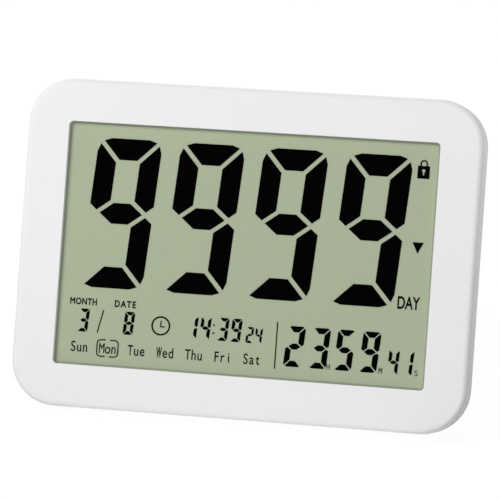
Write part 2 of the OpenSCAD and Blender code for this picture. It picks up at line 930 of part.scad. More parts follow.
module lcd_reflector() {
    color("lightgray")
        stand_up()
            between(reflector_d, stack_d)
                square([glass_w - 2 * film_inset, rear_glass_h - 2 * film_inset], center = true);
}

// Conductive rubber strip between the glass ledge and the board
zebra_end = 8;
zebra_len = glass_w - 2 * zebra_end;
zebra_t = 1.7;
zebra_y = (rear_glass_h + ledge_h) / 2;

module zebra_strip() {
    color("pink")
        stand_up()
            between(rear_glass_d, board_d)
                translate([0, zebra_y])
                    square([zebra_len, zebra_t], center = true);
}

// Room that lets the case screws' bosses pass a plate: its corners are cut off, and its sides are notched
module boss_notches() {
    notch_play = 0.4;
    room = boss_r + notch_play;
    for (p = case_points)
        translate(p)
            if (abs(p.y) == boss_y)
                translate([p.x > 0 ? -room : room - case_w, p.y > 0 ? -room : room - case_h])
                    square([case_w, case_h]);
            else
                circle(r = room);
}

// Plate that presses the glass to the front half, and gives way to the battery bay in a thin case
module lcd_holder() {
    holder_r = 3;
    slot_play = 0.3;
    color("gainsboro")
        stand_up()
            difference() {
                between(holder_d, board_d)
                    difference() {
                        rounded_rect(
                            glass_w + 2 * (glass_play + rib_t),
                            2 * (boss_y + plate_edge),
                            holder_r
                        );
                        translate([0, zebra_y])
                            square([zebra_len + 2 * slot_play, zebra_t + 2 * slot_play], center = true);
                        for (p = concat(board_points, holder_points))
                            translate(p)
                                circle(r = board_screw_d / 2 + shank_room);
                        boss_notches();
                    }
                bay_box(bay_room);
            }
}

module main_board() {
    high = boss_y + plate_edge;
    board_r = 1.5;
    color("seagreen")
        stand_up()
            between(board_d, board_back)
                difference() {
                    translate([0, (board_low + high) / 2])
                        rounded_rect(board_w, high - board_low, board_r);
                    for (p = board_points)
                        translate(p)
                            circle(r = board_screw_d / 2 + shank_room);
                    boss_notches();
                }
}

// Places of the parts on the board
chip_at = [-22, 8];
crystal_at = [2, 14];
capacitor_at = [32, 12];
resistors_at = [4, 6];

// Drop of black resin over the clock chip
module chip_cover() {
    dome_r = 7;
    dome_h = 2;
    ball_r = (dome_r * dome_r + dome_h * dome_h) / (2 * dome_h);
    color("black")
        stand_up()
            translate([chip_at.x, chip_at.y, -board_back])
                rotate([180, 0, 0])
                    rotate_extrude()
                        intersection() {
                            translate([0, dome_h - ball_r])
                                circle(r = ball_r);
                            square([dome_r + past, dome_h + past]);
                        }
}

// Quartz in a small can that lies on the board
module crystal_can() {
    can_d = 2;
    can_len = 6;
    rest = 0.02;
    color("silver")
        stand_up()
            translate([crystal_at.x, crystal_at.y, -board_back - can_d / 2 - rest])
                rotate([0, 90, 0])
                    cylinder(d = can_d, h = can_len, center = true);
}

module buffer_capacitor() {
    can_d = 5;
    can_h = 7;
    color("midnightblue")
        stand_up()
            translate([capacitor_at.x, capacitor_at.y, 0])
                between(board_back, board_back + can_h)
                    circle(d = can_d);
}

module chip_resistors() {
    size = [2, 1.25, 0.5];
    resistors = 5;
    resistor_pitch = 4;
    color("dimgray")
        stand_up()
            for (i = [0 : resistors - 1])
                translate([resistors_at.x + i * resistor_pitch, resistors_at.y, 0])
                    between(board_back, board_back + size.z)
                        square([size.x, size.y], center = true);
}

// Five push switches on the board, each with a well for its plunger
module switch_bodies() {
    well_floor = switch_top - plunger_deep - button_travel - plunger_play;
    color("dimgray")
        stand_up()
            for (x = button_x)
                translate([x, button_y, 0])
                    difference() {
                        between(board_back, switch_top)
                            square(switch_side, center = true);
                        between(well_floor, switch_top + past)
                            circle(d = plunger_d + 2 * plunger_play);
                    }
}

module plunger(i) {
    color("black")
        stand_up()
            translate([button_x[i], button_y, 0])
                between(switch_top - plunger_deep, plunger_top)
                    circle(d = plunger_d);
}

// Button cap: a stem on the plunger, a flange behind the cover and a rounded head with a dish for the finger
module button_cap(i) {
    flange_v = flange_d - plunger_top;
    head_v = case_depth + button_proud - flange_d;
    dish_r = button_d / 2 - 2 * button_round;
    dish_ball = (dish_r * dish_r + button_dish * button_dish) / (2 * button_dish);
    color("gainsboro")
        stand_up()
            translate([button_x[i], button_y, -plunger_top])
                rotate([180, 0, 0])
                    rotate_extrude() {
                        square([stem_r, flange_v + flange_t]);
                        translate([0, flange_v]) {
                            square([button_d / 2 + button_flange, flange_t]);
                            difference() {
                                rim_profile(button_d / 2, head_v, button_round);
                                translate([0, head_v + dish_ball - button_dish])
                                    circle(r = dish_ball);
                            }
                        }
                    }
}

module buzzer_disc() {
    color("goldenrod")
        stand_up()
            translate([-buzzer_x, buzzer_y, 0])
                between(disc_d, disc_d + disc_t)
                    circle(d = buzzer_d);
}

module buzzer_ceramic() {
    color("white")
        stand_up()
            translate([-buzzer_x, buzzer_y, 0])
                between(disc_d - ceramic_t, disc_d)
                    circle(d = buzzer_d * ceramic_share);
}

// Solder points of the leads on the board, and their height above it
pad_inset = 4;
pad_y = board_low + pad_inset;
solder_gap = 0.05;
lead_end = board_back + solder_gap;

solder_side = 5;
solder_up = 4;
brass_inset = 1.6;

// One lead from the ceramic and one from the brass disc
module buzzer_leads() {
    mid_d = (board_back + disc_d) / 2;
    ceramic_x = -buzzer_x + solder_side;
    ceramic_y = buzzer_y + solder_up;
    brass_y = buzzer_y + buzzer_d / 2 - brass_inset;
    color("darkred")
        stand_up() {
            lead([
                [ceramic_x, ceramic_y, disc_d - ceramic_t - solder_gap],
                [ceramic_x, ceramic_y, mid_d], [ceramic_x, pad_y, mid_d], [ceramic_x, pad_y, lead_end]
            ]);
            lead([
                [-buzzer_x, brass_y, disc_d - solder_gap], [-buzzer_x, brass_y, mid_d],
                [-buzzer_x, pad_y, mid_d], [-buzzer_x, pad_y, lead_end]
            ]);
        }
}

// Lead from a contact's tail up to the board
module battery_lead(i, y_end) {
    lead([
        [tail_x, cell_y[i] + tail_w / 2 + solder_gap, tail_depth[i]],
        [tail_x, y_end, tail_depth[i]],
        [tail_x, y_end, lead_end]
    ]);
}

module battery_lead_red() {
    pad_step = 4;
    color("red")
        stand_up()
            battery_lead(0, pad_y + pad_step);
}

module battery_lead_black() {
    color("black")
        stand_up()
            battery_lead(1, pad_y);
}

// Cell along x, with its terminal at the end named by side: -1 to the left, 1 to the right
module cell(i, side) {
    plus_end = plate_t + dimple_h + cell_slack;
    x_plus = side < 0 ? bay_x0 + plus_end : bay_x1 - plus_end;
    color("steelblue")
        stand_up()
            translate([x_plus, cell_y[i], -cell_depth])
                rotate([0, -90 * side, 0]) {
                    cylinder(r = nub_r, h = nub_h + past);
                    translate([0, 0, nub_h])
                        cylinder(d = cell_d, h = cell_len - nub_h);
                }
}

module battery_upper() {
    cell(0, -1);
}

module battery_lower() {
    cell(1, 1);
}

// Contact plate for cell i at the left end, with a tail through the wall of the bay
module end_plate(i) {
    translate([bay_x0, cell_y[i] - plate_side / 2, -cell_depth - plate_side / 2])
        cube([plate_t, plate_side, plate_side]);
    translate([tail_x - lead_d / 2, cell_y[i] - tail_w / 2, -tail_depth[i] - plate_t / 2])
        cube([bay_x0 + plate_t / 2 - tail_x + lead_d / 2, tail_w, plate_t]);
}

module dimple(i, x, side) {
    translate([x, cell_y[i], -cell_depth])
        rotate([0, 90 * side, 0])
            cylinder(r = dimple_r, h = dimple_h);
}

module positive_contact() {
    color("silver")
        stand_up() {
            end_plate(0);
            dimple(0, bay_x0 + plate_t, 1);
        }
}

module negative_contact() {
    color("silver")
        stand_up()
            end_plate(1);
}

// Plate that joins the two cells at the right end
module bridge_contact() {
    color("silver")
        stand_up() {
            translate([bay_x1 - plate_t, cell_y[1] - plate_side / 2, -cell_depth - plate_side / 2])
                cube([plate_t, cell_pitch + plate_side, plate_side]);
            dimple(1, bay_x1 - plate_t, -1);
        }
}

// Spring wire: rings of points along a tapering coil, joined into one tube
spring_r0 = 3.6;
spring_r1 = 2.6;
spring_sides = 6;
spring_rings = 12;
spring_seat = 0.02;
function spring_centre(i) =
    let (n = spring_turns * spring_rings, s = i / n, r = spring_r0 + (spring_r1 - spring_r0) * s)
    let (rise = spring_wire / 2 + spring_seat + s * (spring_len - spring_wire - 2 * spring_seat))
    [r * cos(360 * i / spring_rings), r * sin(360 * i / spring_rings), rise];
function spring_ring(i) =
    let (a = 360 * i / spring_rings, c = spring_centre(i))
    [for (k = [0 : spring_sides - 1])
        let (b = 360 * k / spring_sides, u = spring_wire / 2 * cos(b), v = spring_wire / 2 * sin(b))
        c + [u * cos(a), u * sin(a), v]];

// Least gap between the spring's turns, measured on points half a turn or more apart
spring_gap = min([
    for (i = [0 : spring_turns * spring_rings])
        for (j = [i + spring_rings / 2 : spring_turns * spring_rings])
            norm(spring_centre(i) - spring_centre(j))
]) - spring_wire;
echo(spring_gap = spring_gap);

module coil_spring() {
    n = spring_turns * spring_rings;
    m = spring_sides;
    last = n * m;
    points = [for (i = [0 : n]) each spring_ring(i)];
    walls = [for (i = [0 : n - 1], k = [0 : m - 1])
        let (a = i * m + k, b = i * m + (k + 1) % m)
        each [[a, a + m, b], [b, a + m, b + m]]];
    caps = [for (k = [1 : m - 2]) each [[0, k, k + 1], [last, last + k + 1, last + k]]];
    polyhedron(points = points, faces = concat(walls, caps));
}

// Spring of the lower cell at the left end, and of the upper cell at the right end
module contact_springs() {
    color("silver")
        stand_up() {
            translate([bay_x0 + plate_t, cell_y[1], -cell_depth])
                rotate([0, 90, 0])
                    coil_spring();
            translate([bay_x1 - plate_t, cell_y[0], -cell_depth])
                rotate([0, -90, 0])
                    coil_spring();
        }
}

module case_screws() {
    color("silver")
        stand_up()
            for (p = case_points)
                screw(p, screw_d, seat_d, thread_end);
}

// Screws of the board, and below it those of the glass holder
module board_screws() {
    color("silver")
        stand_up() {
            for (p = board_points)
                screw(p, board_screw_d, board_back, thread_end);
            for (p = holder_points)
                screw(p, board_screw_d, board_d, thread_end);
        }
}

// Four large digits for the days left
module day_segments() {
    segment_film()
        for (i = [0 : day_digits - 1])
            translate([day_left + i * day_pitch, day_base])
                digit(9, day_w, day_h, day_stroke);
}

// Month and day of the month
module date_segments() {
    segment_film() {
        translate([month_left, calendar_base])
            digit(3, clock_w, clock_h, clock_stroke);
        translate([date_left, calendar_base])
            digit(8, clock_w, clock_h, clock_stroke);
    }
}

// Hours, minutes and, smaller, the sign for a day of 24 hours
module clock_segments() {
    segment_film() {
        for (i = [0 : 3])
            translate([clock_left + i * clock_pitch + (i > 1 ? colon_room : 0), clock_base])
                digit([1, 4, 3, 9][i], clock_w, clock_h, clock_stroke);
        for (i = [0 : 1])
            translate([day24_left + i * day24_pitch, clock_base])
                digit([2, 4][i], clock_w * day24_share, clock_h * day24_share, clock_stroke * day24_share);
    }
}

// Hours, minutes and, smaller, seconds of the timer
module timer_segments() {
    segment_film() {
        for (i = [0 : 3])
            translate([timer_left + i * timer_pitch, timer_base])
                digit([2, 3, 5, 9][i], timer_w, timer_h, timer_stroke);
        for (i = [0 : 1])
            translate([seconds_left + i * seconds_pitch, timer_base - seconds_drop])
                digit([4, 1][i], seconds_w, seconds_h, seconds_stroke);
    }
}

// Places of the signs: lock and arrow from the upper right corner, the rest beside their digits
lock_side = 5.5;
lock_drop = 12.7;
arrow_side = 5.7;
arrow_drop = 34.9;
arrow_w = 3.9;
arrow_h = 3.9;
face_gap = 9.2;
face_rise = 3.7;
stroke_left = 16.55;
stroke_run = 1.8;
colon_gap = 0.4;
colon_base = 2.5;
colon_rise = 2.8;
colon_d = 0.65;
frame_left = 15.05;
frame_base = 3.4;
divider_base = 3.8;
divider_h = 16.3;

// Signs: lock, arrow, small clock face, date stroke, colon, weekday frame and divider
module lcd_icons() {
    segment_film() {
        translate([art_w - lock_side, art_h - lock_drop])
            lock_sign();
        translate([art_w - arrow_side, art_h - arrow_drop])
            polygon([[-arrow_w / 2, 0], [arrow_w / 2, 0], [0, -arrow_h]]);
        translate([clock_left - face_gap, clock_base + face_rise])
            clock_sign();
        translate([stroke_left, calendar_base])
            polygon([[-stroke_run, 0], [sign_line - stroke_run, 0], [sign_line, clock_h], [0, clock_h]]);
        for (i = [0, 1])
            translate([clock_left + 2 * clock_pitch + colon_gap, clock_base + colon_base + i * colon_rise])
                circle(d = colon_d);
        translate([frame_left + frame_w / 2, frame_base + frame_h / 2])
            day_frame();
        translate([divider_left, divider_base])
            square([sign_line, divider_h]);
    }
}

// Padlock: body with a keyhole, and a shackle of two legs and half a ring
lock_w = 4.2;
lock_h = 4.4;
lock_line = 0.5;
shackle_r = 1.3;
shackle_leg = 0.8;
lock_eye_y = 2.7;
lock_eye_r = 0.6;
lock_slot_y = 1.2;

module lock_sign() {
    difference() {
        translate([-lock_w / 2, 0])
            square([lock_w, lock_h]);
        translate([0, lock_eye_y])
            circle(r = lock_eye_r);
        translate([-lock_line / 2, lock_slot_y])
            square([lock_line, lock_eye_y - lock_slot_y]);
    }
    for (sx = [-1, 1])
        translate([sx * (shackle_r - lock_line / 2) - lock_line / 2, lock_h])
            square([lock_line, shackle_leg]);
    translate([0, lock_h + shackle_leg])
        intersection() {
            ring(shackle_r, shackle_r - lock_line);
            translate([-shackle_r, 0])
                square([2 * shackle_r, shackle_r]);
        }
}

// Small clock face with two hands, which meet a little below its middle
face_r = 3.4;
face_line = 0.55;
hand_low = 0.5;
hand_up = 2.3;
hand_side = 1.6;

module clock_sign() {
    ring(face_r, face_r - face_line);
    translate([-sign_line / 2, -hand_low]) {
        square([sign_line, hand_up]);
        square([hand_side, sign_line]);
    }
}

// Round frame for the weekday, open at the middle of its top and bottom
frame_w = 8;
frame_h = 6.2;
frame_r = 1.5;
frame_opening = 1.6;

module day_frame() {
    difference() {
        rounded_rect(frame_w, frame_h, frame_r);
        rounded_rect(frame_w - 2 * sign_line, frame_h - 2 * sign_line, frame_r - sign_line);
        square([frame_opening, frame_h + past], center = true);
    }
}

front_bezel();
rear_cover();
battery_cover();
stand_leg();
stand_pin();
stand_foot();
case_feet();
lcd_front_polarizer();
lcd_front_glass();
lcd_rear_glass();
lcd_reflector();
lcd_holder();
zebra_strip();
day_segments();
date_segments();
clock_segments();
timer_segments();
lcd_icons();
main_board();
chip_cover();
crystal_can();
buffer_capacitor();
chip_resistors();
switch_bodies();
for (i = [0 : last_button]) {
    button_cap(i);
    plunger(i);
}
buzzer_disc();
buzzer_ceramic();
buzzer_leads();
battery_lead_red();
battery_lead_black();
battery_upper();
battery_lower();
positive_contact();
negative_contact();
bridge_contact();
contact_springs();
case_screws();
board_screws();
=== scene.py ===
# %% [markdown]
# # Dressing a countdown timer
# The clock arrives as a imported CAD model: every rigid piece is there, at its real size and in its real place.
# This lesson gives those pieces their finishes, prints the words on the display and the marks on the back,
# and sets the clock on a white table in front of a camera. No CAD piece is moved or reshaped.

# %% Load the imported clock
import json
import math

import bpy
from mathutils import Matrix, Vector


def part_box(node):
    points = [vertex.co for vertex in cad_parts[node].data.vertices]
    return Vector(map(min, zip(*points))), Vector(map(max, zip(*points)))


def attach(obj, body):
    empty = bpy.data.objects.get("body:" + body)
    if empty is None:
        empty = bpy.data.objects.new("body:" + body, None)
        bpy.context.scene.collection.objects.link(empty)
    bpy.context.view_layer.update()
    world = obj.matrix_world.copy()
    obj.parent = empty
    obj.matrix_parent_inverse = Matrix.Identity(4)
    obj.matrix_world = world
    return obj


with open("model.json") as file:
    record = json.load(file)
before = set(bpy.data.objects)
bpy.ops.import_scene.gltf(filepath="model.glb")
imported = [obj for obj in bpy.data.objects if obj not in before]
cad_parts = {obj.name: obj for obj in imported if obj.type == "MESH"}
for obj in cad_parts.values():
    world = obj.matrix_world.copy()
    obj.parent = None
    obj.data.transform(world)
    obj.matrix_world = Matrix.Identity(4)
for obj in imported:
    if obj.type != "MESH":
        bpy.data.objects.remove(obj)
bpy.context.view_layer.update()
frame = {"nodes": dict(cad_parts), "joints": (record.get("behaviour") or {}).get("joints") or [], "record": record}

MM = 0.001
nodes = frame["nodes"]
bpy.ops.object.select_all(action="DESELECT")

# %% [markdown]
# ## Two drawing boards
# The clock leans back, so nothing on it lies along the world's axes. Words and marks are easier to draw flat,
# with x to the right, y up and z out of the surface. Each board below is a matrix that carries such a drawing
# to its place. The way a button is pressed is square to the case, so its joint gives the direction of the face.

# %% Boards on the display and on the back
joints = {joint["name"]: joint for joint in frame["joints"]}
mounts = {mount["name"]: mount for mount in frame["record"]["mounts"]}
RIGHT = Vector((1, 0, 0))
FILM_T = 0.2 * MM
out_of_face = Vector(joints["mode_press"]["axis"]).normalized()
up_the_face = out_of_face.cross(RIGHT)


def middle(node):
    """Middle of a CAD piece's box."""
    low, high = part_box(node)
    return (low + high) / 2


def board(origin, right, up):
    """Matrix from a flat drawing to a plane through origin."""
    turn = Matrix((right, up, right.cross(up))).transposed().to_4x4()
    return Matrix.Translation(origin) @ turn


DISPLAY = board(middle("lcd_front_polarizer") + out_of_face * FILM_T / 2, RIGHT, up_the_face)
keyhole = mounts["wall_keyhole"]
keyhole_length = keyhole["dims"]["length_mm"] * MM
keyhole_edge = Vector(keyhole["pos_m"]) + Vector(keyhole["axis"]) * keyhole_length / 2
BACK = board(keyhole_edge, -RIGHT, up_the_face)
print("display at", [round(v, 4) for v in DISPLAY.translation])
print("keyhole at", [round(v, 4) for v in keyhole_edge])

# %% [markdown]
# ## The camera
# The photograph was taken from a little to the right and a little above, with a long lens. The angles, the
# distance and the focal length come from fitting the window's corners. The picture isn't quite centred on the
# window, and a small shift of the lens puts it there without turning the camera.

# %% Camera at the photograph's angle
AZIMUTH = math.radians(11.908)
ELEVATION = math.radians(18.878)
DISTANCE = 1.11445
FOCAL_PIXELS = 3202.7
IMAGE_PIXELS = 500
WINDOW_PIXEL = (244.35, 254.04)
WINDOW_DEPTH = 2 * MM
window_middle = DISPLAY.translation + out_of_face * WINDOW_DEPTH
towards_camera = Vector((
    math.sin(AZIMUTH) * math.cos(ELEVATION),
    -math.cos(AZIMUTH) * math.cos(ELEVATION),
    math.sin(ELEVATION),
))

bpy.ops.object.camera_add(location=window_middle + towards_camera * DISTANCE)
camera = bpy.context.object
camera.name = "photo_camera"
camera.rotation_euler = (-towards_camera).to_track_quat("-Z", "Y").to_euler()
camera.data.lens = camera.data.sensor_width * FOCAL_PIXELS / IMAGE_PIXELS
camera.data.shift_x = (IMAGE_PIXELS / 2 - WINDOW_PIXEL[0]) / IMAGE_PIXELS
camera.data.shift_y = (WINDOW_PIXEL[1] - IMAGE_PIXELS / 2) / IMAGE_PIXELS
bpy.context.scene.camera = camera
bpy.context.scene.view_settings.view_transform = "Standard"
print("lens", round(camera.data.lens, 1), "mm")

# %% [markdown]
# ## Table and light
# The photograph has a white ground, as from a light table: a white sheet that is lit from below too, so that
# the lower edge of the clock stays bright. The table here does the same. What the camera sees of it glows, so
# that it comes out white without more light on the clock, while the clock's own shadow stays on it.
# A white thing on a white ground easily loses its edges. Photographers lay a dark card on each side of it, just
# out of the picture, and its side walls turn grey. The table's shader does that with two dark spots. Only the
# light that bounces up to the clock meets them, and the camera sees plain white there.

# %% Tools that mix shaders
def matt_paint(tree, colour):
    """Diffuse shader of one colour."""
    paint = tree.nodes.new("ShaderNodeBsdfDiffuse")
    paint.inputs["Color"].default_value = colour
    return paint.outputs[0]


def mix_shaders(tree, share, first, second):
    """Mix Shader node whose share is a number or a socket."""
    mix = tree.nodes.new("ShaderNodeMixShader")
    if isinstance(share, float):
        mix.inputs["Fac"].default_value = share
    else:
        tree.links.new(share, mix.inputs["Fac"])
    tree.links.new(first, mix.inputs[1])
    tree.links.new(second, mix.inputs[2])
    return mix.outputs[0]


def larger(tree, first, second):
    """Larger of two values."""
    pick = tree.nodes.new("ShaderNodeMath")
    pick.operation = "MAXIMUM"
    tree.links.new(first, pick.inputs[0])
    tree.links.new(second, pick.inputs[1])
    return pick.outputs[0]


def rays_that_see(tree):
    """Value that is 1 where the camera, a reflection or a view through glass meets the surface."""
    path = tree.nodes.new("ShaderNodeLightPath").outputs
    indirect = larger(tree, path["Is Glossy Ray"], path["Is Transmission Ray"])
    return larger(tree, path["Is Camera Ray"], indirect)


# %% White table
FLOOR_SIZE = 8
FLOOR_DROP = 0.05 * MM
FLOOR_BRIGHT = 1.03
FLOOR_GLOW = 0.92
FLOOR_LIT = 0.35
FLOOR_SEEN = (0.95, 0.95, 0.95, 1)
FLOOR_BOUNCE = (0.85, 0.85, 0.85, 1)
CARD_SPOT = (0.15, 0, 0)
CARD_CORE = 0.05
CARD_REACH = 0.1
CARD_GREY = (0.1, 0.1, 0.1, 1)


def card_share(tree):
    """Value that is 1 at the card on either side of the clock and fades to 0 at its reach."""
    place = tree.nodes.new("ShaderNodeTexCoord")
    mirrored = tree.nodes.new("ShaderNodeVectorMath")
    mirrored.operation = "ABSOLUTE"
    away = tree.nodes.new("ShaderNodeVectorMath")
    away.operation = "DISTANCE"
    away.inputs[1].default_value = CARD_SPOT
    fade = tree.nodes.new("ShaderNodeMapRange")
    fade.inputs["From Min"].default_value = CARD_REACH
    fade.inputs["From Max"].default_value = CARD_CORE
    tree.links.new(place.outputs["Object"], mirrored.inputs[0])
    tree.links.new(mirrored.outputs["Vector"], away.inputs[0])
    tree.links.new(away.outputs["Value"], fade.inputs["Value"])
    return fade.outputs["Result"]


bpy.ops.mesh.primitive_plane_add(size=FLOOR_SIZE, location=(0, 0, -FLOOR_DROP))
floor = bpy.context.object
floor.name = "white_table"
table_finish = bpy.data.materials.new("table_white")
table_finish.use_nodes = True
tree = table_finish.node_tree
tree.nodes.clear()
glow = tree.nodes.new("ShaderNodeEmission")
glow.inputs["Strength"].default_value = FLOOR_BRIGHT
seen_side = mix_shaders(tree, FLOOR_GLOW, matt_paint(tree, FLOOR_SEEN), glow.outputs[0])
lit_sheet = mix_shaders(tree, FLOOR_LIT, matt_paint(tree, FLOOR_BOUNCE), glow.outputs[0])
lit_side = mix_shaders(tree, card_share(tree), lit_sheet, matt_paint(tree, CARD_GREY))
surface = mix_shaders(tree, rays_that_see(tree), lit_side, seen_side)
output = tree.nodes.new("ShaderNodeOutputMaterial")
tree.links.new(surface, output.inputs["Surface"])
floor.data.materials.append(table_finish)
print("table", FLOOR_SIZE, "m wide")

# %% [markdown]
# A broad lamp at the upper left lights the face and draws the shadow inside the window. A weak one in front
# keeps that shadow soft, one behind lights the back, and a small one at the right lifts the upper corner there.
# An even sky fills the rest. It lights the clock only a little, but the camera sees it white.

# %% Sky and lamps
SKY = 0.27
WHITE = (1, 1, 1, 1)
LAMPS = {
    "key_upper_left": {"spot": (-0.71, -0.78, 0.98), "size": 0.57, "power": 10.3},
    "front_soft": {"spot": (0.3, -1.35, 0.5), "size": 0.9, "power": 2.4},
    "back_soft": {"spot": (-0.5, 0.95, 0.8), "size": 0.8, "power": 5},
    "right_soft": {"spot": (0.9, 0.35, 0.55), "size": 0.6, "power": 1.4},
}

sky = bpy.data.worlds.new("even_sky")
sky.use_nodes = True
tree = sky.node_tree
tree.nodes.clear()
fill = tree.nodes.new("ShaderNodeBackground")
fill.inputs["Color"].default_value = WHITE
fill.inputs["Strength"].default_value = SKY
ground = tree.nodes.new("ShaderNodeBackground")
ground.inputs["Color"].default_value = WHITE
surface = mix_shaders(tree, rays_that_see(tree), fill.outputs[0], ground.outputs[0])
output = tree.nodes.new("ShaderNodeOutputWorld")
tree.links.new(surface, output.inputs["Surface"])
bpy.context.scene.world = sky


def lamp(name, spot, size, power):
    """Square area lamp that points at the middle of the window."""
    bpy.ops.object.light_add(type="AREA", location=spot)
    light = bpy.context.object
    light.name = name
    light.data.size = size
    light.data.energy = power
    light.rotation_euler = (window_middle - Vector(spot)).to_track_quat("-Z", "Y").to_euler()


for name, values in LAMPS.items():
    lamp(name, **values)
print("sky", SKY, "and", len(LAMPS), "lamps")

# %% [markdown]
# ## Small tools for finishes
# Most of the finishes are the same idea with other numbers: a base colour that drifts a little, a roughness
# that isn't quite even, and a fine grain that catches the light. Each tool below adds one of these to a
# Principled shader. All patterns read Object coordinates, which are metres here, so a noise scale of 2000
# means grains about half a millimetre apart.

# %% Tools that build a finish
TINT_DARK_END = 0.3
TINT_LIGHT_END = 0.7


def new_finish(name, colour, roughness, metallic=0.0):
    """Material with a Principled shader. Returns the material, its node tree and the shader."""
    material = bpy.data.materials.new(name)
    material.use_nodes = True
    shader = material.node_tree.nodes["Principled BSDF"]
    shader.inputs["Base Color"].default_value = (*colour, 1)
    shader.inputs["Roughness"].default_value = roughness
    shader.inputs["Metallic"].default_value = metallic
    return material, material.node_tree, shader


def grain(tree, scale, detail=2.0, stretch=(1, 1, 1)):
    """Noise on Object coordinates, stretched along an axis where stretch is below 1."""
    place = tree.nodes.new("ShaderNodeTexCoord")
    mapping = tree.nodes.new("ShaderNodeMapping")
    mapping.inputs["Scale"].default_value = stretch
    noise = tree.nodes.new("ShaderNodeTexNoise")
    noise.inputs["Scale"].default_value = scale
    noise.inputs["Detail"].default_value = detail
    tree.links.new(place.outputs["Object"], mapping.inputs["Vector"])
    tree.links.new(mapping.outputs["Vector"], noise.inputs["Vector"])
    return noise.outputs["Fac"]


def tint(tree, shader, pattern, dark, light):
    """Base colour that drifts between two tints."""
    ramp = tree.nodes.new("ShaderNodeValToRGB")
    first, last = ramp.color_ramp.elements
    first.position = TINT_DARK_END
    last.position = TINT_LIGHT_END
    first.color = (*dark, 1)
    last.color = (*light, 1)
    tree.links.new(pattern, ramp.inputs["Fac"])
    tree.links.new(ramp.outputs["Color"], shader.inputs["Base Color"])


def uneven_gloss(tree, shader, pattern, low, high):
    """Roughness that wanders between two values."""
    spread = tree.nodes.new("ShaderNodeMapRange")
    spread.inputs["To Min"].default_value = low
    spread.inputs["To Max"].default_value = high
    tree.links.new(pattern, spread.inputs["Value"])
    tree.links.new(spread.outputs["Result"], shader.inputs["Roughness"])


def relief(tree, shader, pattern, height, strength):
    """Fine bumps of a given height in metres."""
    bump = tree.nodes.new("ShaderNodeBump")
    bump.inputs["Strength"].default_value = strength
    bump.inputs["Distance"].default_value = height
    tree.links.new(pattern, bump.inputs["Height"])
    tree.links.new(bump.outputs["Normal"], shader.inputs["Normal"])


def dress(material, *names):
    """Gives CAD pieces a finish."""
    for name in names:
        nodes[name].material_slots[0].material = material
    print(material.name, "on", len(names), "pieces")


# %% [markdown]
# ## The moulded case
# The case is white ABS. Its mould was etched, so the plastic has a very fine grain that takes the shine off.
# The colour is nearly even, with a faint drift that keeps large faces from looking painted.

# %% White case plastic
CASE_DARK = (0.865, 0.865, 0.872)
CASE_LIGHT = (0.885, 0.885, 0.89)
case_plastic, tree, shader = new_finish("case_plastic", CASE_LIGHT, roughness=0.55)
tint(tree, shader, grain(tree, scale=25), CASE_DARK, CASE_LIGHT)
uneven_gloss(tree, shader, grain(tree, scale=120), low=0.5, high=0.6)
relief(tree, shader, grain(tree, scale=2600), height=0.02 * MM, strength=0.25)
dress(case_plastic, "front_bezel", "rear_cover", "battery_cover", "stand_leg")

# %% [markdown]
# ## Buttons, rubber and inner plastic
# The buttons are a greyer plastic with a softer sheen. The feet and the boot of the stand are black rubber,
# rough and a little dusty. The plate behind the glass and the switches are plain moulded plastic.

# %% Greys and blacks
BUTTON_DARK = (0.66, 0.67, 0.68)
BUTTON_LIGHT = (0.7, 0.71, 0.72)
button_plastic, tree, shader = new_finish("button_plastic", BUTTON_LIGHT, roughness=0.4)
tint(tree, shader, grain(tree, scale=200), BUTTON_DARK, BUTTON_LIGHT)
uneven_gloss(tree, shader, grain(tree, scale=400), low=0.34, high=0.46)
relief(tree, shader, grain(tree, scale=3000), height=0.01 * MM, strength=0.2)
dress(button_plastic, "button_mode", "button_set", "button_up", "button_down", "button_lock")

RUBBER = (0.03, 0.03, 0.032)
RUBBER_DARK = (0.022, 0.022, 0.024)
RUBBER_DUSTY = (0.05, 0.05, 0.05)
foot_rubber, tree, shader = new_finish("foot_rubber", RUBBER, roughness=0.85)
tint(tree, shader, grain(tree, scale=300, detail=6), RUBBER_DARK, RUBBER_DUSTY)
uneven_gloss(tree, shader, grain(tree, scale=150), low=0.75, high=0.92)
relief(tree, shader, grain(tree, scale=1800, detail=4), height=0.05 * MM, strength=0.4)
dress(foot_rubber, "stand_foot", "case_feet")

INNER = (0.76, 0.76, 0.74)
inner_plastic, tree, shader = new_finish("inner_plastic", INNER, roughness=0.5)
tint(tree, shader, grain(tree, scale=60), dark=(0.73, 0.73, 0.71), light=(0.78, 0.78, 0.76))
relief(tree, shader, grain(tree, scale=900), height=0.02 * MM, strength=0.2)
dress(inner_plastic, "lcd_holder")

SWITCH = (0.03, 0.03, 0.033)
switch_plastic, tree, shader = new_finish("switch_plastic", SWITCH, roughness=0.45)
tint(tree, shader, grain(tree, scale=700), dark=(0.024, 0.024, 0.027), light=(0.04, 0.04, 0.043))
relief(tree, shader, grain(tree, scale=2500), height=0.015 * MM, strength=0.3)
dress(
    switch_plastic, "switch_bodies",
    "plunger_mode", "plunger_set", "plunger_up", "plunger_down", "plunger_lock",
)

# %% [markdown]
# ## The display
# What shows in the window is a polarising film in front of two sheets of glass. It is a flat grey-green with a
# dull, slightly silky surface. The dark segments are as good as black and have the same soft surface.

# %% Film, segments and glass
FILM_DARK = (0.398, 0.455, 0.313)
FILM_LIGHT = (0.41, 0.468, 0.323)
FILM_SHINE = 0.25
display_film, tree, shader = new_finish("display_film", FILM_LIGHT, roughness=0.5)
tint(tree, shader, grain(tree, scale=18), FILM_DARK, FILM_LIGHT)
uneven_gloss(tree, shader, grain(tree, scale=60), low=0.45, high=0.55)
relief(tree, shader, grain(tree, scale=6000), height=0.004 * MM, strength=0.15)
shader.inputs["Specular IOR Level"].default_value = FILM_SHINE
dress(display_film, "lcd_front_polarizer")

